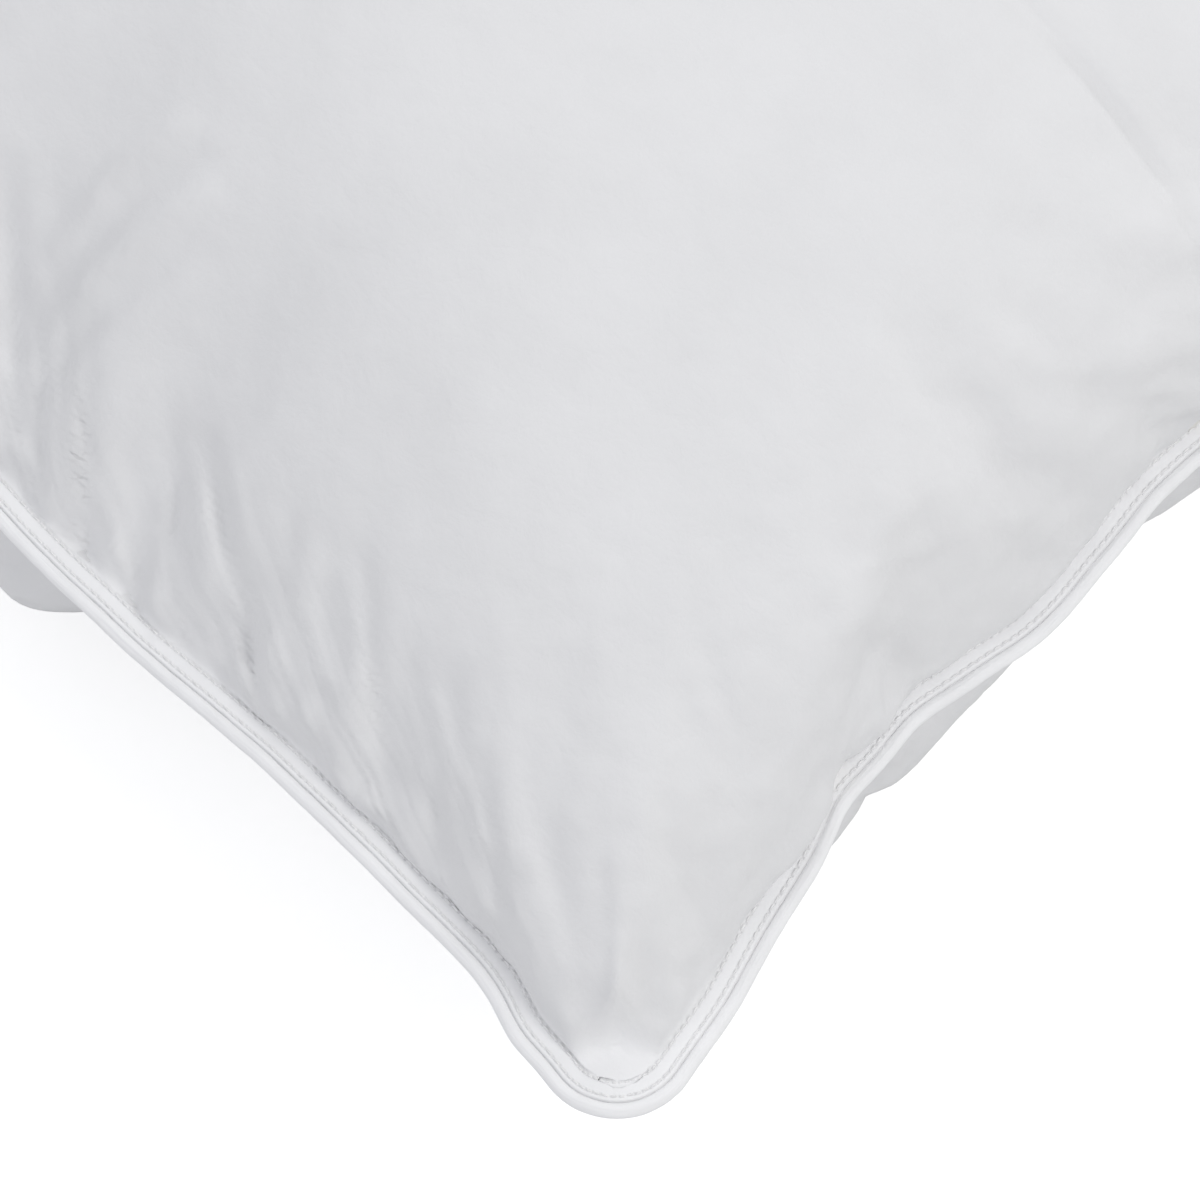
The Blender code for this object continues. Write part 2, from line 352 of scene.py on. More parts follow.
# %% Match the cut to the edge
QUARTER_SHORT = EDGE_ALONG[int(np.argmin(abs(EDGE_POINTS[: len(EDGE_POINTS) // 4, 1])))]
QUARTER_LONG = PERIMETER / 4 - QUARTER_SHORT


def edge_place(flat):
    """The place along the edge that each flat point's line from the middle runs to."""
    across, up = flat[:, 0] / (CUT_LENGTH / 2), flat[:, 1] / (CUT_WIDTH / 2)
    far = np.maximum(np.maximum(abs(across), abs(up)), 1e-9)
    right = QUARTER_SHORT * (1 + up / far)
    top = 2 * QUARTER_SHORT + QUARTER_LONG * (1 - across / far)
    left = 3 * QUARTER_SHORT + 2 * QUARTER_LONG - QUARTER_SHORT * up / far
    bottom = PERIMETER - QUARTER_LONG * (1 - across / far)
    on_short = abs(across) >= abs(up)
    return np.where(on_short, np.where(across >= 0, right, left), np.where(up >= 0, top, bottom))


def edge_share(flat):
    """0 at the middle of the cut to 1 at its rim."""
    return np.maximum(abs(flat[:, 0]) / (CUT_LENGTH / 2), abs(flat[:, 1]) / (CUT_WIDTH / 2))


def from_rim(flat):
    """Distance in from the rim on the flat cut."""
    return np.minimum(CUT_LENGTH / 2 - abs(flat[:, 0]), CUT_WIDTH / 2 - abs(flat[:, 1]))


def from_ear(flat):
    """Distance from the nearest corner of the cut."""
    return np.linalg.norm(np.array((CUT_LENGTH / 2, CUT_WIDTH / 2)) - abs(flat), axis=1)


# %% [markdown]
# ## Blow the panels up
# Cotton hardly stretches but bends easily, so the springs along the threads are stiff and the
# bending ones soft. Gravity is off, because the filling carries the cloth. The rim is pinned, and
# a shape key draws it in from the flat cut to the seam while the pressure fills the panel.

# %% Simulate a panel
FRAMES = 38
DRAWN_IN_BY = 24  # the frame by which the rim has reached the seam
PRESSURE = 3.5
START_WRINKLES = 0.0003
START_LIFT = 0.002


def fill_by_pressure(grid, flat, seed):
    """The grid's points after its rim is drawn in to the seam and pressure fills it."""
    shuffle = np.random.default_rng(seed)
    rim = edge_share(flat) > 0.99999
    cut = with_round_corners(flat)
    cut[:, 2] += (shuffle.normal(0.0, START_WRINKLES, len(flat)) + START_LIFT) * ~rim
    drawn = seam(edge_place(flat), BODY_LINE, 0.0)
    drawn[:, 2] = 0.0
    move_to(grid, cut)
    pins = grid.vertex_groups.new(name="held_in_the_seam")
    pins.add([int(i) for i in np.flatnonzero(rim)], 1.0, "REPLACE")
    grid.shape_key_add(name="Basis")
    pull = grid.shape_key_add(name="drawn_in")
    pull.data.foreach_set("co", np.where(rim[:, None], drawn, cut).ravel())
    for frame_now, value in ((1, 0.0), (DRAWN_IN_BY, 1.0)):
        pull.value = value
        pull.keyframe_insert("value", frame=frame_now)
    cloth = grid.modifiers.new("cotton", "CLOTH")
    cotton = cloth.settings
    cotton.quality = 6
    cotton.mass = 0.05
    cotton.air_damping = 2.0
    cotton.bending_model = "ANGULAR"
    cotton.tension_stiffness = 40
    cotton.compression_stiffness = 40
    cotton.shear_stiffness = 20
    cotton.bending_stiffness = 0.004
    cotton.use_pressure = True
    cotton.uniform_pressure_force = PRESSURE
    cotton.effector_weights.gravity = 0
    cotton.vertex_group_mass = pins.name
    cloth.collision_settings.use_collision = False
    cloth.point_cache.frame_start = 1
    cloth.point_cache.frame_end = FRAMES
    scene.frame_start = 1
    scene.frame_end = FRAMES
    for step in range(1, FRAMES + 1):
        scene.frame_set(step)
    found = positions(grid.evaluated_get(bpy.context.evaluated_depsgraph_get()).data)
    scene.frame_set(1)
    grid.modifiers.remove(cloth)
    grid.shape_key_clear()
    grid.vertex_groups.clear()
    return found


def filled(grid, flat, seed):
    found = fill_by_pressure(grid, flat, seed)
    print(grid.name, "filled to", round(float(found[:, 2].max()) * 1000, 1), "mm above its seam")
    return found


# %% [markdown]
# Both panels are filled the same way, upwards, from different small starting wrinkles. The upper
# one is brought to the pillow's height. The lower one is turned over and flattened smoothly where
# the floor stops it. Both then follow the seam's drift.

# %% Fill both panels
UNDERSIDE_FULLNESS = 1.45  # how far the underside would bulge with no floor under it
FLOOR_BEND = 0.020  # height over which the underside curves onto the floor
PUCKER_PASSES = 24  # smoothing passes that tell a pucker from the panel's broad shape
PUCKER_GAIN = 0.6
PUCKER_CLEAR_OF_EAR = 0.08
DIAGONAL_BLEND = 0.16
MIDDLE_CALM = 0.85  # how far the middle is evened out
CALM_ENDS = 0.88  # share of the way to the rim where that has faded
CALM_FADE = 0.25
TOP_RISE = CROWN_TOP - SEAM_HEIGHT - PANEL_FACE
DROP = SEAM_HEIGHT - PANEL_FACE - FLOOR


def stopped_by_floor(depth):
    near = np.clip(FLOOR_BEND - abs(depth - DROP), 0, None) / FLOOR_BEND
    return np.minimum(depth, DROP) - near * near * FLOOR_BEND / 4


def follow_drift(flat):
    """How far the seam's waves lift the cloth, less and less towards the middle."""
    drift = seam(edge_place(flat), BODY_LINE, 0.0)[:, 2] - SEAM_HEIGHT
    return drift * edge_share(flat) ** 6


def evened(sheet, axis):
    """The sheet of points with the unevenness along this axis smoothed away."""
    even = np.moveaxis(sheet.copy(), axis, 0)
    for _ in range(PUCKER_PASSES):
        even[1:-1] = (even[:-2] + 2 * even[1:-1] + even[2:]) / 4
    return np.moveaxis(even, 0, axis)


def with_deeper_puckers(points, flat):
    """The points evened in the middle, with the puckers along the sides made deeper."""
    sheet = points.reshape(ROWS + 1, COLUMNS + 1, 3)
    along_y, along_x = (evened(sheet, axis).reshape(-1, 3) for axis in (0, 1))
    lean = abs(flat[:, 0]) / CUT_LENGTH - abs(flat[:, 1]) / CUT_WIDTH
    near_short = np.clip(0.5 + lean / DIAGONAL_BLEND, 0, 1)[:, None]
    even = along_y * near_short + along_x * (1 - near_short)
    share = edge_share(flat)
    off_ear = 1 - np.exp(-((from_ear(flat) / PUCKER_CLEAR_OF_EAR) ** 2))
    gain = PUCKER_GAIN * (share < 0.9999) * share**3 * off_ear
    calm = evened(evened(sheet, 0), 1).reshape(-1, 3)
    settled = MIDDLE_CALM * np.clip((CALM_ENDS - share) / CALM_FADE, 0, 1)
    return points + gain[:, None] * (points - even) + settled[:, None] * (calm - points)


top_panel, flat_places = flat_grid("top_panel_cloth")
bottom_panel, _ = flat_grid("bottom_panel_cloth")
top_points = with_deeper_puckers(filled(top_panel, flat_places, 7), flat_places)
top_points[:, 2] *= TOP_RISE / top_points[:, 2].max()
top_points[:, 2] += SEAM_HEIGHT + PANEL_FACE + follow_drift(flat_places)
bottom_points = with_deeper_puckers(filled(bottom_panel, flat_places, 11), flat_places)
bottom_points[:, 2] *= DROP * UNDERSIDE_FULLNESS / bottom_points[:, 2].max()
bottom_points[:, 2] = (SEAM_HEIGHT - PANEL_FACE - stopped_by_floor(bottom_points[:, 2])
                       + follow_drift(flat_places))
bottom_points[:, 2] = np.maximum(bottom_points[:, 2], FLOOR)
move_to(top_panel, top_points)
move_to(bottom_panel, bottom_points)

# %% [markdown]
# ## Smooth the cloth and press in its folds
# One subdivision makes the grid fine enough for soft light, and each point keeps its flat place
# as an attribute. Then come the folds that hands and storage leave in a pillow. Each is a line
# over the cloth with a width and a depth: the cloth sinks or rises along it, and the fold fades
# out at both ends.

# %% Subdivide, and keep each point's flat place
for panel in (top_panel, bottom_panel):
    keep_vectors(panel, "cut", np.hstack((flat_places, np.zeros((len(flat_places), 1)))))
    smoother = panel.modifiers.new("smoother", "SUBSURF")
    smoother.levels = 1
    smoother.render_levels = 1
    apply(panel, smoother)
print("points in a panel:", len(top_panel.data.vertices))

# %% Fold lines, placed from the tip of the ear
EAR = Vector((EDGE_POINTS[0][0], EDGE_POINTS[0][1]))
INTO_PILLOW = Vector((-math.sin(VIEW_TURN), math.cos(VIEW_TURN)))
TO_THE_RIGHT = Vector((math.cos(VIEW_TURN), math.sin(VIEW_TURN)))
FOLDS = (  # (points as right of and into the pillow from the ear tip, in mm), half width, depth
    (((-10, 17), (-5, 19.5), (0, 22)), 1.8, 0.7),
    (((0, 22), (5, 19.5), (10, 17)), 1.8, 0.7),
    (((2, 24), (3, 32), (0, 44)), 4.5, 1.2),
    (((-10, 18), (-13, 42), (-20, 66), (-26, 90)), 4.0, 1.5),
    (((58, 102), (68, 111), (80, 121)), 6.0, 2.6),
    (((-47, 66), (-43, 60), (-38, 54)), 2.2, 2.0),
    (((-24, 58), (-30, 56), (-38, 60)), 5.0, 1.4),
    (((-115, 262), (-137, 256), (-158, 242)), 3.4, -3.2),
    (((-110, 252), (-134, 247), (-160, 234)), 4.0, 2.4),
    (((-108, 242), (-136, 235), (-165, 222)), 3.4, -3.2),
    (((-112, 232), (-138, 224), (-165, 210)), 5.0, 2.4),
    (((-172, 270), (-170, 239), (-169, 205)), 4.5, 6.0),
    (((-123, 188), (-127, 162), (-130, 140)), 2.6, -2.4),
    (((-131, 186), (-134, 160), (-136, 142)), 3.0, 1.8),
    (((20, 115), (26, 97), (36, 80)), 3.0, 0.9),
    (((92, 158), (103, 154), (114, 146)), 3.0, 0.9),
    (((102, 308), (128, 276), (147, 256), (158, 240), (165, 222)), 3.0, 3.2),
)


def sink_along(points, up_down, line, half_width, depth):
    """Moves points up_down * depth where they lie near the line, seen from above."""
    places = [EAR + TO_THE_RIGHT * right / 1000 + INTO_PILLOW * inward / 1000 for right, inward in line]
    total = sum((b - a).length for a, b in zip(places, places[1:]))
    nearest = np.full(len(points), 1e9)
    along = np.zeros(len(points))
    run = 0.0
    for a, b in zip(places, places[1:]):
        step = np.array(b - a)
        share = np.clip(((points[:, :2] - np.array(a)) @ step) / (step @ step), 0, 1)
        away = np.linalg.norm(points[:, :2] - np.array(a) - share[:, None] * step, axis=1)
        closer = away < nearest
        nearest = np.where(closer, away, nearest)
        along = np.where(closer, run + share * np.linalg.norm(step), along)
        run += np.linalg.norm(step)
    fade = np.sin(math.pi * np.clip(along / total, 0, 1)) ** 0.5
    points[:, 2] -= up_down * depth / 1000 * fade * np.exp(-((nearest * 1000 / half_width) ** 2))


top_points = positions(top_panel.data)
for line, half_width, depth in FOLDS:
    sink_along(top_points, 1, line, half_width, depth)

# %% [markdown]
# Where the filling presses hardest against the seam, the body bulges out over the flange. The
# rest of the seam gathers the cloth into short puckers. The ear itself is pinched flat.

# %% Bulges over the flange, and gathers along the seam
OVERHANGS = (  # place along the edge from the ear tip, its half width, how far out it leans
    (0.094, 0.016, 0.0050),
    (0.128, 0.020, 0.0030),
)
UNDER_BULGES = (  # the same for the lower panel
    (-0.240, 0.085, 0.041),
    (0.135, 0.048, 0.006),
    (0.290, 0.050, 0.002),
)
OVERHANG_REACH = 0.008  # how far in from the body line the cloth leans out most
UNDER_BULGE_REACH = 0.050
GATHERS_ON_TOP = (  # from, to, pitch, lean along the seam, depth in mm, seed
    (-0.30, -0.05, 0.0085, -1.3, 3.0, 5),
    (0.05, 0.30, 0.0180, 0.5, 1.1, 6),
    (0.32, 2.02, 0.0220, 0.0, 1.4, 8),
)
GATHERS_BELOW = (0.03, 2.32, 0.0220, 0.0, 1.4, 9)
GATHER_REACH = (0.018, 0.046)  # the shortest and the longest
GATHER_HALF_WIDTH = (2.0, 3.8)  # in mm
EAR_PRESSED_TO = 0.0205  # how far in from the tip the pinch ends, on its middle line
EAR_PINCH_SLANT = 0.45  # and how much sooner it ends to each side
EAR_PINCH_RISE = 0.007


def lean_out(points, mesh, overhangs, reach):
    """Moves points outwards at these places, most of all this far in from the body line."""
    flat = stored_vectors(mesh, "cut")
    place = edge_place(flat)
    x = from_rim(flat) / reach
    profile = x * x * np.exp(1 - x * x)
    out = np.stack(on_edge(place, EDGE_OUTS), 1)
    points[:, :2] += out * (bumps(place, overhangs) * profile)[:, None]


def gathers(points, up_down, start, end, pitch, lean, depth, seed):
    """Short puckers about this deep from place to place along the seam, leaning along it."""
    shuffle = np.random.default_rng(seed)
    for place in np.arange(start, end, pitch):
        here = (place + shuffle.uniform(-0.4, 0.4) * pitch) % PERIMETER
        reach = shuffle.uniform(*GATHER_REACH)
        slant = lean * reach * shuffle.uniform(0.6, 1.3)
        share = np.array((0, 0.5, 1))
        line = seam(here + share * slant, BODY_LINE - 0.004 + share * reach, 0.0)
        offsets = [Vector(p[:2]) - EAR for p in line]
        line = [(o.dot(TO_THE_RIGHT) * 1000, o.dot(INTO_PILLOW) * 1000) for o in offsets]
        half_width = shuffle.uniform(*GATHER_HALF_WIDTH)
        sink_along(points, up_down, line, half_width, depth * shuffle.uniform(0.4, 1.2))


def pinch_ear(points):
    """Presses the ear of the camera's corner flat as far in as an upside-down V."""
    offsets = points[:, :2] - np.array(EAR)
    inward = offsets @ np.array(INTO_PILLOW)
    right = abs(offsets @ np.array(TO_THE_RIGHT))
    past = inward - EAR_PRESSED_TO + EAR_PINCH_SLANT * np.minimum(right, 0.012)
    rise = np.clip(past / EAR_PINCH_RISE + 0.1, 0.1, 1)
    rise = rise * rise * (3 - 2 * rise)
    pressed = np.clip((0.060 - right) / 0.020, 0, 1) * (1 - rise)
    points[:, 2] -= pressed * np.clip(points[:, 2] - SEAM_HEIGHT - PANEL_FACE, 0, None)
    return pressed


pressed_flat = pinch_ear(top_points)
cut_places = stored_vectors(top_panel.data, "cut")
cut_places[:, 2] = pressed_flat
keep_vectors(top_panel, "cut", cut_places)
lean_out(top_points, top_panel.data, OVERHANGS, OVERHANG_REACH)
for stretch in GATHERS_ON_TOP:
    gathers(top_points, 1, *stretch)
bottom_points = positions(bottom_panel.data)
lean_out(bottom_points, bottom_panel.data, UNDER_BULGES, UNDER_BULGE_REACH)
gathers(bottom_points, -1, *GATHERS_BELOW)
move_to(top_panel, top_points)
move_to(bottom_panel, bottom_points)
top_filled = top_points[: len(flat_places)]  # the grid's own points come first
bottom_filled = bottom_points[: len(flat_places)]

# %% [markdown]
# ## Sew on the flange
# Outside the body line, each panel runs on as the flange. The rows of stitches pull small valleys
# into it, its edge folds over beside the piping, and the turned-in edge runs back between the
# layers. A ring of points is added for each of these, and then the cloth gets its thickness.

# %% Add the flange to a panel
FOLD_EDGE = 2 * PIPING_RADIUS + 0.00008
TURNING_FACE = 0.0007
TURNING_END = BODY_LINE + 0.004
VALLEY = 0.00020  # how deep a row of stitches pulls the cloth in
SHOULDER = 0.05e-3  # how deep it still is 0.4 mm to either side of the row
PIPING_CLEARANCE = 0.00010


def against_piping(height):
    """How far in from the edge the round piping is cleared at this height over its middle."""
    return PIPING_RADIUS + math.sqrt(PIPING_RADIUS**2 - height**2) + PIPING_CLEARANCE


FLANGE = (  # distance in from the edge, height over the seam's middle
    (INNER_ROW + 0.0003, PANEL_FACE - 0.10e-3),
    (INNER_ROW, PANEL_FACE - VALLEY),
    (INNER_ROW - 0.0004, PANEL_FACE - SHOULDER),
    ((INNER_ROW + OUTER_ROW) / 2, PANEL_FACE + 0.15e-3),
    (OUTER_ROW + 0.0004, PANEL_FACE - SHOULDER),
    (OUTER_ROW, PANEL_FACE - VALLEY),
    (OUTER_ROW - 0.0004, PANEL_FACE - SHOULDER),
    (against_piping(PANEL_FACE - SHOULDER), PANEL_FACE - SHOULDER),
    (against_piping(PANEL_FACE - 0.35e-3), PANEL_FACE - 0.35e-3),
    (FOLD_EDGE + 0.0002, TURNING_FACE),
    (TURNING_END, TURNING_FACE),
)


def rim_loop(bm):
    """The open rim's points in order."""
    rim_edges = [e for e in bm.edges if e.is_boundary]
    first = rim_edges[0].verts[0]
    loop, before, here = [], None, first
    while True:
        loop.append(here)
        following = [e.other_vert(here) for e in here.link_edges if e.is_boundary]
        after = following[0] if following[0] is not before else following[1]
        before, here = here, after
        if here is first:
            return loop


def nearest_place(points):
    """The place along the edge whose body line passes closest to each point."""
    tries = np.linspace(0, PERIMETER, 12000, endpoint=False)
    line = seam(tries, BODY_LINE, 0.0)[:, :2]
    return np.array([tries[np.argmin(((line - p[:2]) ** 2).sum(1))] for p in points])


def sew_flange(panel, side):
    """Runs the panel's rim on as flange and turned-in edge, above (1) or below (-1) the seam."""
    bm = bmesh.new()
    bm.from_mesh(panel.data)
    bm.verts.ensure_lookup_table()
    loop = rim_loop(bm)
    place = nearest_place([v.co for v in loop])
    for v, p in zip(loop, seam(place, BODY_LINE, side * PANEL_FACE)):
        v.co = p
    rings = [loop]
    edge_of = {v.index: (s, BODY_LINE) for v, s in zip(loop, place)}
    count = len(bm.verts)
    for inward, up in FLANGE:
        ring = [bm.verts.new(p) for p in seam(place, inward, side * up)]
        for s in place:
            edge_of[count] = (s, inward)
            count += 1
        rings.append(ring)
    for one, two in zip(rings, rings[1:]):
        for i in range(len(one)):
            j = (i + 1) % len(one)
            bm.faces.new((one[i], one[j], two[j], two[i]))
    bmesh.ops.recalc_face_normals(bm, faces=bm.faces)
    middle = min(bm.faces, key=lambda f: f.calc_center_median().xy.length)
    if middle.normal.z * side < 0:
        bmesh.ops.reverse_faces(bm, faces=bm.faces)
    bm.to_mesh(panel.data)
    bm.free()
    flat = stored_vectors(panel.data, "cut")
    lean = abs(abs(flat[:, 0]) / CUT_LENGTH - abs(flat[:, 1]) / CUT_WIDTH)
    off_diagonal = np.clip(lean / 0.05, 0, 1) ** 2
    inward = BODY_LINE + from_rim(flat[:, :2])
    edge = np.stack((edge_place(flat[:, :2]), inward, off_diagonal), 1)
    for index, (s, inward) in edge_of.items():
        off_start = 0.0 if min(s, PERIMETER - s) < 0.004 else 1.0
        edge[index] = (s, inward, off_start)
        if index >= len(flat) - len(loop) * len(FLANGE):
            flat[index] = (s, inward, 0)
    keep_vectors(panel, "edge", edge)
    keep_vectors(panel, "cut", flat)
    thicken(panel, TICKING, -1)


sew_flange(top_panel, 1)
sew_flange(bottom_panel, -1)
print("panel faces:", len(top_panel.data.polygons))

# %% [markdown]
# ## The down filling
# Loose down pushes against the cloth everywhere, but not into the ears or the seam. Copies of both
# panels, at the grid's first fineness, are sunk a little along their normals, their outermost rows
# and ears are cut away, and the two rims are bridged into one closed body.

# %% Make the filling
FILL_SINK = 0.0030
FILL_EDGE = 0.012  # how far in from the body line, on the flat cut, the filling's sides begin
EAR_EMPTY = 0.045  # the ears are too narrow for down within this of the cut's corners


def sunk_copy(points, side):
    """A copy of a filled panel, sunk towards the filling, without its outermost rows."""
    half, flat = flat_grid("half_filling")
    move_to(half, points)
    normals = read(half.data.vertex_normals, "vector")
    clumps = 0.0004 * np.sin(flat[:, 0] * 260 + 2 * np.sin(flat[:, 1] * 190))
    depth = FILL_SINK + clumps * np.sin(flat[:, 1] * 240)
    move_to(half, points - side * normals * depth[:, None])
    bm = bmesh.new()
    bm.from_mesh(half.data)
    empty = (from_rim(flat) < FILL_EDGE) | (from_ear(flat) < EAR_EMPTY)
    outer = [v for v, is_empty in zip(bm.verts, empty) if is_empty]
    bmesh.ops.delete(bm, geom=outer, context="VERTS")
    bm.to_mesh(half.data)
    bm.free()
    return half


lower_half = sunk_copy(bottom_filled, -1)
filling = sunk_copy(top_filled, 1)
deselect()
lower_half.select_set(True)
filling.select_set(True)
bpy.context.view_layer.objects.active = filling
bpy.ops.object.join()
filling.name = "loose_down"
bpy.ops.object.mode_set(mode="EDIT")
bpy.ops.mesh.select_all(action="SELECT")
bpy.ops.mesh.region_to_loop()
bpy.ops.mesh.bridge_edge_loops(number_cuts=2, smoothness=0.6)
bpy.ops.mesh.select_all(action="SELECT")
bpy.ops.mesh.normals_make_consistent(inside=False)
bpy.ops.object.mode_set(mode="OBJECT")
filling.data.shade_smooth()
print("filling faces:", len(filling.data.polygons))

# %% [markdown]
# ## Piping and cord
# The piping is a bias strip folded round a cotton cord, with its two raw edges side by side
# between the panels. It is one section swept the whole way round. A bias strip never lies quite
# smooth: it swells and narrows a little, and small slanting wrinkles cross it.

# %% Sweep a section round the edge
STATIONS = 1560
PIPING_CLOTH = 0.0003
LIP = 0.0001  # half the slit between the tails
TAIL_END = BODY_LINE + 0.003


def sweep(name, inward, up):
    """A closed band from (stations, points) distances in from the edge and heights."""
    place = np.linspace(0, PERIMETER, len(inward), endpoint=False)
    points = seam(place[:, None], inward, up).reshape(-1, 3)
    count = inward.shape[1]
    faces = []
    for i in range(len(inward)):
        here, there = i * count, (i + 1) % len(inward) * count
        for k in range(count):
            m = (k + 1) % count
            faces.append((here + k, here + m, there + m, there + k))
    made = new_piece(name, points, faces)
    edge = np.stack((np.repeat(place, count), inward.ravel(), up.ravel()), 1)
    keep_vectors(made, "edge", edge)
    return made


def wrinkles(place, angle):
    """Small slanting wrinkles, as shares of the radius."""
    turn = 2 * math.pi * place / PERIMETER
    slow = 0.012 * np.sin(190 * turn + 1.3 * angle) * np.sin(29 * turn + 0.6)
    quick = 0.010 * np.sin(331 * turn - 1.7 * angle + 2.0) * np.sin(53 * turn)
    return 1 + slow + quick + 0.006 * np.sin(97 * turn + 4.1)


place = np.linspace(0, PERIMETER, STATIONS, endpoint=False)[:, None]
open_out = math.asin((LIP + PIPING_CLOTH) / PIPING_RADIUS)
angle_out = np.linspace(open_out, 2 * math.pi - open_out, 20)[None, :]
radius_out = PIPING_RADIUS * wrinkles(place, angle_out)
inner_radius = PIPING_RADIUS - PIPING_CLOTH
open_in = math.asin(LIP / inner_radius)
angle_in = np.linspace(2 * math.pi - open_in, open_in, 14)[None, :]
radius_in = inner_radius * wrinkles(place, angle_in)
tail = np.ones((STATIONS, 1))
tail_in = tail * TAIL_END
piping_in = np.hstack((PIPING_RADIUS + radius_out * np.cos(angle_out), tail_in, tail_in,
                       PIPING_RADIUS + radius_in * np.cos(angle_in), tail_in, tail_in))
piping_up = np.hstack((radius_out * np.sin(angle_out), -tail * (LIP + PIPING_CLOTH), -tail * LIP,
                       radius_in * np.sin(angle_in), tail * LIP, tail * (LIP + PIPING_CLOTH)))
piping = sweep("piping_strip", piping_in, piping_up)

angle = np.linspace(0, 2 * math.pi, 14, endpoint=False)[None, :]
TWIST = 2 * math.pi / 0.009  # three strands turn once in 9 mm
strands = CORD_RADIUS * (0.94 + 0.06 * np.cos(3 * (angle - TWIST * place / 3)))
cord = sweep("filler_cord", PIPING_RADIUS + strands * np.cos(angle), strands * np.sin(angle))
print("piping faces:", len(piping.data.polygons), "cord faces:", len(cord.data.polygons))

# %% [markdown]
# ## Stitches
# A lockstitch shows as one short bridge of thread after another, diving into the cloth at each
# needle hole. One stitch is modelled from a cylinder, pinched and bent down at its ends, and
# copied along every row.

# %% Model one stitch
STITCH = PERIMETER / round(PERIMETER / 0.003)
THREAD_SIDES = 6
deselect()
bpy.ops.mesh.primitive_cylinder_add(vertices=THREAD_SIDES, radius=1, depth=1, end_fill_type="TRIFAN")
stitch = bpy.context.object
bpy.ops.object.mode_set(mode="EDIT")
bm = bmesh.from_edit_mesh(stitch.data)
bpy.ops.mesh.select_all(action="DESELECT")
for edge in bm.edges:
    along_axis = abs(edge.verts[0].co.z - edge.verts[1].co.z) > 0.5
    edge.select_set(along_axis)
bmesh.update_edit_mesh(stitch.data)
bpy.ops.mesh.subdivide(number_cuts=4)
bpy.ops.object.mode_set(mode="OBJECT")
stitch_points = positions(stitch.data)
stitch_faces = [tuple(f.vertices) for f in stitch.data.polygons]
bpy.data.objects.remove(stitch)

# %% Copy it along the rows
STITCH_SHARE = 0.90  # of the pitch, the rest is the needle hole
STITCH_PINCH = 0.45  # how much thinner the thread is at its ends
STITCH_ARCH = 0.00016
STITCH_DIVE = 0.00055


def stitch_row(name, row, side, start, count):
    """A row of this many stitches from a place along the edge, on top (1) or below (-1)."""
    t = 2 * stitch_points[:, 2]
    pinch = 1 - STITCH_PINCH * t**4
    arch = STITCH_ARCH - STITCH_DIVE * t**4
    shuffle = np.random.default_rng(round(row * 1e6) + side)
    all_points, all_faces = [], []
    for k in range(count):
        slant, swing = shuffle.normal(0, 0.00004, 2)
        along = start + (k + 0.5 + stitch_points[:, 2] * STITCH_SHARE) * STITCH
        across = THREAD_RADIUS * pinch * stitch_points[:, 0] + swing + slant * t
        up = PANEL_FACE - VALLEY + THREAD_RADIUS * pinch * (0.7 + stitch_points[:, 1]) + arch
        all_points.append(seam(along, row + across, side * up))
        offset = k * len(stitch_points)
        all_faces += [tuple(offset + i for i in face) for face in stitch_faces]
    return new_piece(name, np.concatenate(all_points), all_faces)


ALL_ROUND = round(PERIMETER / STITCH)
CLOSING_STITCHES = 60
closing_start = 3 * QUARTER_SHORT + 2 * QUARTER_LONG - CLOSING_STITCHES / 2 * STITCH
rows = {}
for row_name, row, start, count in (("outer_seam", OUTER_ROW, 0.0, ALL_ROUND),
                                    ("inner_seam", INNER_ROW, 0.0, ALL_ROUND),
                                    ("closing_seam", CLOSING_ROW, closing_start, CLOSING_STITCHES)):
    for thread_name, side in (("needle_thread", 1), ("bobbin_thread", -1)):
        node = f"{row_name}_{thread_name}"
        rows[node] = stitch_row(node + "_stitches", row, side, start, count)
print("stitches in a full row:", ALL_ROUND, "at", round(STITCH * 1000, 2), "mm")

# %% [markdown]
# ## The label
# A short satin ribbon with no print is caught by the inner row under the flange, at the back.
# It is a subdivided plane that turns down out of the seam and hangs with a slight curl.

# %% Hang the label
label_low, label_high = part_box("care_label")
LABEL_WIDTH = label_high.x - label_low.x
LABEL_THICKNESS = 0.0003
LABEL_TURN = 0.0008  # length sewn under the flange
LABEL_LENGTH = LABEL_TURN + label_high.z - label_low.z
behind = EDGE_POINTS[:, 1] > 0
label_middle = (label_low.x + label_high.x) / 2
label_place = EDGE_ALONG[int(np.argmin(abs(EDGE_POINTS[:, 0] - label_middle) + 9 * ~behind))]
deselect()
bpy.ops.mesh.primitive_grid_add(x_subdivisions=16, y_subdivisions=32, size=1)
label = bpy.context.object
label.name = "blank_satin_label"
unit = positions(label.data)
keep_vectors(label, "cut", unit * (LABEL_WIDTH, LABEL_LENGTH, 0))
run = (0.5 - unit[:, 1]) * LABEL_LENGTH
hang_in = INNER_ROW - THREAD_RADIUS - GAP - LABEL_THICKNESS
turn = np.clip(run / LABEL_TURN, 0, 1)
drop = np.clip(run - LABEL_TURN, 0, None)
curl = 0.0022 * np.sin(drop * 70) + 0.0016 * np.sin(unit[:, 0] * 5 + drop * 60) * drop / LABEL_LENGTH
inward = BODY_LINE - GAP + (hang_in - BODY_LINE + GAP) * turn - np.maximum(curl, 0)
move_to(label, seam(label_place + unit[:, 0] * LABEL_WIDTH, inward, -(PANEL_FACE + 0.0005 + drop)))
thicken(label, LABEL_THICKNESS, 0)
print("label hangs down to", round(float(positions(label.data)[:, 2].min()), 3), "m")

# %% [markdown]
# ## Finishes
# White cotton is never one flat white. A single layer over down looks greyer than the flange,
# where four layers lie together. The groups below give the weave, the fine crumples, the gathers,
# the strip's wrinkles and the needle holes. Each material sets them to its own cloth.

# %% Helpers for shader trees


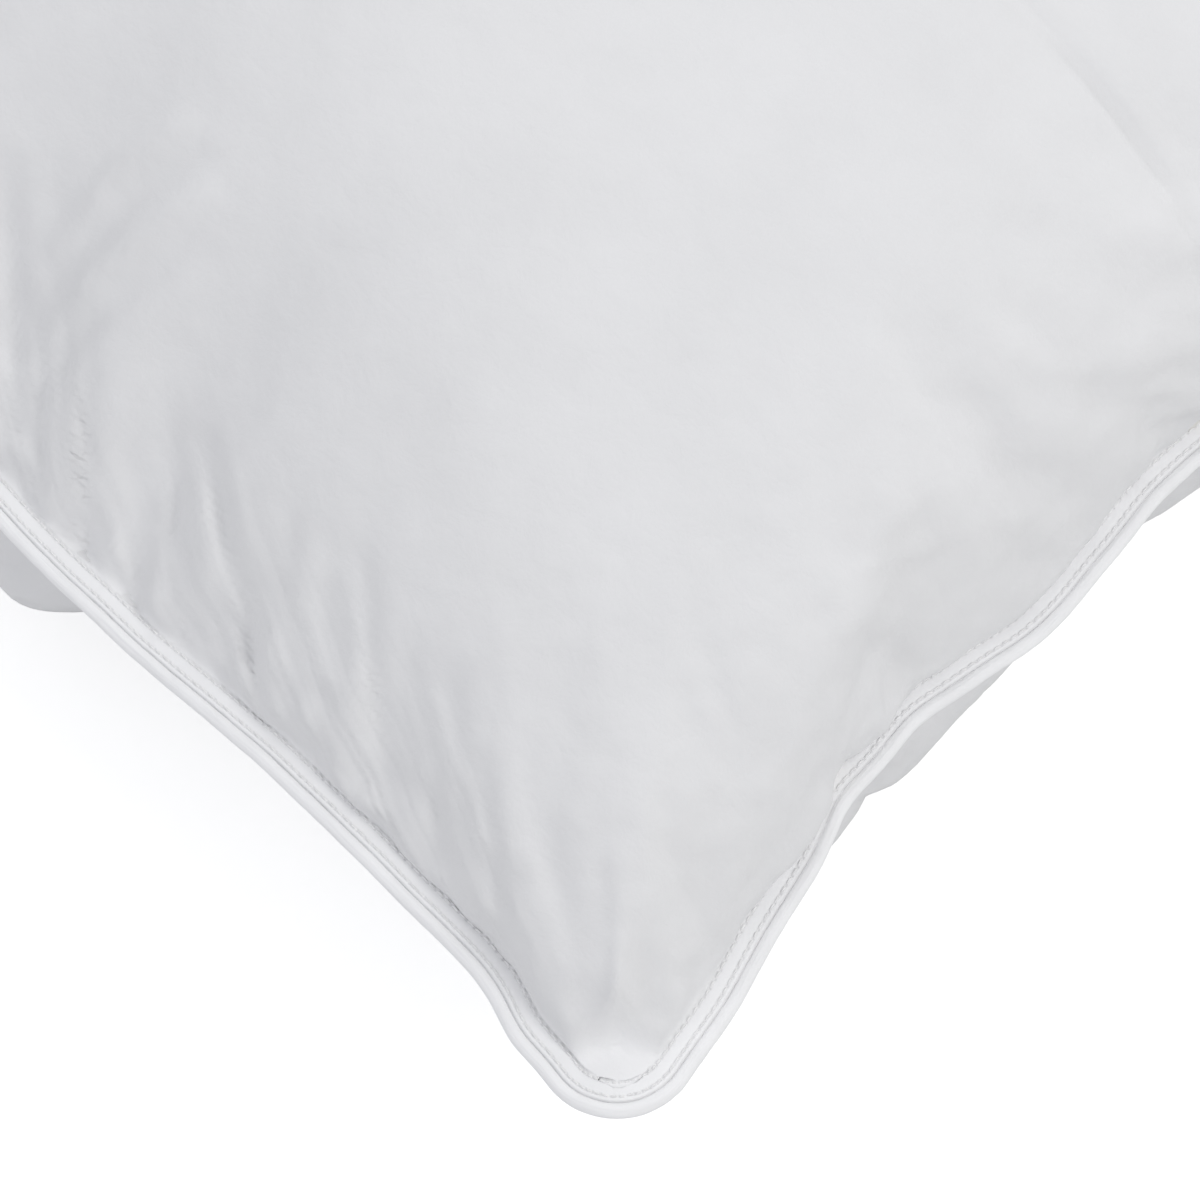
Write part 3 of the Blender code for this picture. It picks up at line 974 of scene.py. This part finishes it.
def new_tree(name, inputs, outputs):
    """A node group with these named inputs (name, socket type, value) and outputs."""
    tree = bpy.data.node_groups.new(name, "ShaderNodeTree")
    for label_text, kind, value in inputs:
        socket = tree.interface.new_socket(label_text, in_out="INPUT", socket_type=kind)
        if value is not None:
            socket.default_value = value
    for label_text, kind in outputs:
        tree.interface.new_socket(label_text, in_out="OUTPUT", socket_type=kind)
    return tree, tree.nodes.new("NodeGroupInput"), tree.nodes.new("NodeGroupOutput")


def wire(tree, node, **links):
    """Links or sets a node's inputs, given by name, or by number after an i."""
    for key, value in links.items():
        at = int(key[1:]) if key[0] == "i" and key[1:].isdigit() else key.replace("_", " ")
        socket = node.inputs[at]
        if isinstance(value, bpy.types.NodeSocket):
            tree.links.new(value, socket)
        else:
            socket.default_value = value


def put(tree, kind, settings=(), **links):
    """Adds a node of this kind, sets its properties, and wires its inputs."""
    node = tree.nodes.new("ShaderNode" + kind)
    for key, value in dict(settings).items():
        setattr(node, key, value)
    wire(tree, node, **links)
    return node


def maths(tree, operation, a, b=0.0, c=0.0):
    return put(tree, "Math", {"operation": operation}, i0=a, i1=b, i2=c).outputs[0]


def ranged(tree, value, start, end, low, high, kind="LINEAR"):
    """Low to high as the value goes from start to end."""
    return put(tree, "MapRange", {"interpolation_type": kind}, Value=value, From_Min=start,
               From_Max=end, To_Min=low, To_Max=high).outputs[0]


def eased(tree, value, start, end):
    return ranged(tree, value, start, end, 0.0, 1.0, "SMOOTHSTEP")


def noise(tree, place, scale, settings=(), **links):
    return put(tree, "TexNoise", settings, Vector=place, Scale=scale, **links).outputs[0]


def split(tree, vector):
    return put(tree, "SeparateXYZ", Vector=vector).outputs


def joined(tree, x, y=0.0, z=0.0):
    return put(tree, "CombineXYZ", i0=x, i1=y, i2=z).outputs[0]


def finish_cloth(tree, shader, colour, shade, height, depth=1.0, **links):
    """Scales the colour by the shade, bumps the surface by the height, and wires the shader."""
    scaled = put(tree, "VectorMath", {"operation": "SCALE"}, i0=colour, Scale=shade)
    bump = put(tree, "Bump", Height=height, Distance=depth)
    wire(tree, shader, Base_Color=scaled.outputs[0], Normal=bump.outputs[0], **links)


def new_material(name):
    """A material with its tree and its main shader."""
    made = bpy.data.materials.new(name)
    made.use_nodes = True
    return made, made.node_tree, made.node_tree.nodes["Principled BSDF"]


# %% Weave, crumples and needle holes
FLOAT = "NodeSocketFloat"
VECTOR = "NodeSocketVector"

weave, entry, result = new_tree("plain_weave", [("Place", VECTOR, None), ("Threads", FLOAT, 2200.0)],
                                [("Height", FLOAT)])
parts = split(weave, entry.outputs["Place"])
turns = maths(weave, "MULTIPLY", entry.outputs["Threads"], 2 * math.pi)
warp = maths(weave, "SINE", maths(weave, "MULTIPLY", parts[0], turns))
weft = maths(weave, "SINE", maths(weave, "MULTIPLY", parts[1], turns))
crossing = maths(weave, "MULTIPLY", warp, weft)
wire(weave, result, Height=maths(weave, "MULTIPLY_ADD", crossing, 0.5, 0.5))

crumple, entry, result = new_tree("crumpled_cloth", [("Place", VECTOR, None), ("Size", FLOAT, 0.01)],
                                  [("Height", FLOAT), ("Mottle", FLOAT)])
per_metre = maths(crumple, "DIVIDE", 1.0, entry.outputs["Size"])
here = entry.outputs["Place"]
fine = noise(crumple, here, per_metre, Detail=5.0, Roughness=0.55, Distortion=0.2)
ridge = noise(crumple, here, maths(crumple, "MULTIPLY", per_metre, 0.22),
              {"noise_type": "RIDGED_MULTIFRACTAL"}, Detail=3.0, Roughness=0.5)
cloud = noise(crumple, here, maths(crumple, "MULTIPLY", per_metre, 0.35), Detail=4.0, Roughness=0.6)
wire(crumple, result, Height=maths(crumple, "MULTIPLY_ADD", ridge, 0.35, fine), Mottle=cloud)

streaks, entry, result = new_tree("gathered_seam", [("Edge", VECTOR, None), ("Size", FLOAT, 0.006)],
                                  [("Height", FLOAT)])
parts = split(streaks, entry.outputs["Edge"])
second_half = maths(streaks, "GREATER_THAN", parts[0], PERIMETER / 2)
lean = maths(streaks, "MULTIPLY_ADD", second_half, 1.8, -0.5)
phase = maths(streaks, "MULTIPLY_ADD", parts[1], lean, parts[0])
stretched = joined(streaks, phase, maths(streaks, "MULTIPLY", parts[1], 0.16))
pleats = noise(streaks, stretched, maths(streaks, "DIVIDE", 1.0, entry.outputs["Size"]),
               Detail=1.0, Roughness=0.4)
near_seam = eased(streaks, parts[1], 0.075, BODY_LINE)
off_flange = maths(streaks, "GREATER_THAN", parts[1], BODY_LINE)
faded = maths(streaks, "MULTIPLY", maths(streaks, "SUBTRACT", pleats, 0.5), near_seam)
faded = maths(streaks, "MULTIPLY", faded, parts[2])
wire(streaks, result, Height=maths(streaks, "MULTIPLY", faded, off_flange))

folded, entry, result = new_tree("folded_bias_strip",
                                 [("Place", VECTOR, None), ("Edge", VECTOR, None)],
                                 [("Height", FLOAT)])
ALONG_THE_STRIP = 45.0  # wrinkles to a metre
ACROSS_THE_STRIP = 850.0
where = split(folded, entry.outputs["Place"])
inward = split(folded, entry.outputs["Edge"])[1]
squeezed = joined(folded, maths(folded, "MULTIPLY", where[0], ALONG_THE_STRIP),
                  maths(folded, "MULTIPLY", where[1], ALONG_THE_STRIP),
                  maths(folded, "MULTIPLY", inward, ACROSS_THE_STRIP))
wire(folded, result, Height=noise(folded, squeezed, 1.0, Detail=2.0))

holes, entry, result = new_tree("needle_holes", [("Edge", VECTOR, None), ("Row", FLOAT, INNER_ROW)],
                                [("Hole", FLOAT)])
parts = split(holes, entry.outputs["Edge"])
wave = maths(holes, "COSINE", maths(holes, "MULTIPLY", parts[0], 2 * math.pi / STITCH))
near_hole = eased(holes, wave, 0.45, 0.95)
away = maths(holes, "ABSOLUTE", maths(holes, "SUBTRACT", parts[1], entry.outputs["Row"]))
masked = maths(holes, "MULTIPLY", eased(holes, away, 0.0007, 0.0002), parts[2])
wire(holes, result, Hole=maths(holes, "MULTIPLY", near_hole, masked))


def group(tree, inner, **links):
    return put(tree, "Group", {"node_tree": inner}, **links)


# %% [markdown]
# The ticking has a tight plain weave, so its sheen is soft and its highlights are broad. A bump
# carries the weave and the crumples. Where the needle went through, the cloth dips and a little
# shadow collects.

# %% Ticking
WEAVE_DEPTH = 0.000008
GATHER_DEPTH = 0.0024
STRIP_WRINKLE_DEPTH = 0.00045
HOLE_DEPTH = 0.00010
HOLE_SHADE = 0.12


def cloth_material(name, body, flange, size, depth, sewn):
    made, tree, shader = new_material(name)
    place = put(tree, "TexCoord").outputs["Object"]
    edge = put(tree, "Attribute", {"attribute_name": "edge"}).outputs["Vector"]
    cut = put(tree, "Attribute", {"attribute_name": "cut"}).outputs["Vector"]
    folds = group(tree, crumple, Place=place, Size=size)
    threads = group(tree, weave, Place=cut)
    on_flange = eased(tree, split(tree, edge)[1], BODY_LINE + 0.004, BODY_LINE - 0.001)
    on_flange = maths(tree, "MAXIMUM", on_flange, split(tree, cut)[2])
    tone = put(tree, "Mix", {"data_type": "RGBA"}, i0=on_flange, i6=(*body, 1), i7=(*flange, 1))
    shade = ranged(tree, folds.outputs["Mottle"], 0.3, 0.7, 0.975, 1.015)
    height = maths(tree, "MULTIPLY", folds.outputs["Height"], depth)
    height = maths(tree, "MULTIPLY_ADD", threads.outputs["Height"], WEAVE_DEPTH, height)
    if sewn:
        pleats = group(tree, streaks, Edge=edge, Size=0.016)
        height = maths(tree, "MULTIPLY_ADD", pleats.outputs[0], GATHER_DEPTH, height)
        hole = maths(tree, "ADD", group(tree, holes, Edge=edge, Row=INNER_ROW).outputs[0],
                     group(tree, holes, Edge=edge, Row=OUTER_ROW).outputs[0])
        shade = maths(tree, "MULTIPLY", shade, maths(tree, "MULTIPLY_ADD", hole, -HOLE_SHADE, 1.0))
        height = maths(tree, "MULTIPLY_ADD", hole, -HOLE_DEPTH, height)
    else:
        pleats = group(tree, folded, Place=place, Edge=edge)
        height = maths(tree, "MULTIPLY_ADD", pleats.outputs[0], STRIP_WRINKLE_DEPTH, height)
    rough = ranged(tree, folds.outputs["Mottle"], 0.3, 0.7, 0.72, 0.86)
    finish_cloth(tree, shader, tone.outputs[2], shade, height, Roughness=rough, Sheen_Weight=0.15,
                 Sheen_Roughness=0.5, Specular_IOR_Level=0.3)
    return made


BODY_WHITE = (0.80, 0.80, 0.81)
FLANGE_WHITE = (0.93, 0.93, 0.94)
ticking = cloth_material("down_proof_ticking", BODY_WHITE, FLANGE_WHITE, 0.012, 0.0007, True)
piping_cloth = cloth_material("bias_strip", FLANGE_WHITE, FLANGE_WHITE, 0.004, 0.00010, False)

# %% [markdown]
# Thread, cord, down and satin need less. Thread and cord are twisted yarns, so a slanting wave
# crosses them. Down is matt and fluffy. Satin's long floating threads give it a brighter streak.

# %% The other finishes


def yarn_material(name, colour, roughness, twist):
    made, tree, shader = new_material(name)
    place = put(tree, "TexCoord").outputs["Object"]
    wave = put(tree, "TexWave", {"bands_direction": "DIAGONAL"}, Vector=place,
               Scale=1 / (twist * 20), Distortion=1.5, Detail=2.0).outputs["Fac"]
    tint = ranged(tree, wave, 0.0, 1.0, 0.93, 1.0)
    finish_cloth(tree, shader, colour, tint, wave, twist * 0.08, Roughness=roughness, Sheen_Weight=0.1)
    return made


thread = yarn_material("sewing_thread", (0.90, 0.90, 0.90), 0.55, 0.0005)
cotton_cord = yarn_material("cotton_cord", (0.80, 0.78, 0.73), 0.9, 0.003)
down = yarn_material("down_and_small_feathers", (0.85, 0.84, 0.81), 1.0, 0.012)
satin = yarn_material("label_satin", (0.90, 0.90, 0.91), 0.35, 0.0006)


def dress(piece, material, node):
    piece.data.materials.clear()
    piece.data.materials.append(material)
    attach(piece, "root")
    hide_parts(node)


# %% [markdown]
# ## Hand the pieces to the frame
# Each piece rides on the one body, stands for its plain solid, which is hidden, and gets its finish.

# %% Dress every piece
for piece, material, slot, node in (
    (top_panel, ticking, "ticking", "top_panel"),
    (bottom_panel, ticking, "ticking", "bottom_panel"),
    (filling, down, "down", "down_fill"),
    (piping, piping_cloth, "piping_cloth", "piping_cover"),
    (cord, cotton_cord, "cotton_cord", "piping_cord"),
    (label, satin, "label_satin", "care_label"),
):
    dress(piece, material, node)
for node, stitches in rows.items():
    dress(stitches, thread, node)

# %% [markdown]
# ## Floor and light
# A pale floor and large soft lights, as in a plain studio: the brightest from above the short
# side, a weak cool one on the long side, one from behind, and an even sky.

# %% Set the stage
FLOOR_GLOW = 0.55  # seen by the camera only, so that the floor goes white behind the pillow
deselect()
bpy.ops.mesh.primitive_plane_add(size=30, location=(0, 0, FLOOR - 0.0005))
floor = bpy.context.object
floor.name = "pale_floor"
floor_paint, floor_tree, floor_shader = new_material("pale_floor")
glow = put(floor_tree, "LightPath").outputs["Is Camera Ray"]
glow = maths(floor_tree, "MULTIPLY", glow, FLOOR_GLOW)
wire(floor_tree, floor_shader, Base_Color=(0.80, 0.80, 0.80, 1), Roughness=0.9,
     Emission_Color=(1, 1, 1, 1), Emission_Strength=glow)
floor.data.materials.append(floor_paint)

world = bpy.data.worlds.new("studio")
world.use_nodes = True
sky = world.node_tree.nodes["Background"]
wire(world.node_tree, sky, Color=(0.97, 0.98, 1.0, 1), Strength=0.60)
scene.world = world
for light_name, spot, energy, size, colour in (
    ("main_softbox", (1.6, 0.4, 2.0), 16, 0.9, (1.0, 0.99, 0.97)),
    ("long_side_fill", (-0.6, -1.8, 1.3), 6, 1.6, (0.93, 0.93, 1.0)),
    ("behind", (-1.0, 1.6, 1.8), 12, 1.4, (1.0, 1.0, 1.0)),
):
    bpy.ops.object.light_add(type="AREA", location=spot)
    lamp = bpy.context.object
    lamp.name = light_name
    lamp.data.energy = energy
    lamp.data.size = size
    lamp.data.color = colour
    lamp.rotation_euler = Vector(spot).to_track_quat("Z", "Y").to_euler()
scene.view_settings.view_transform = "Standard"
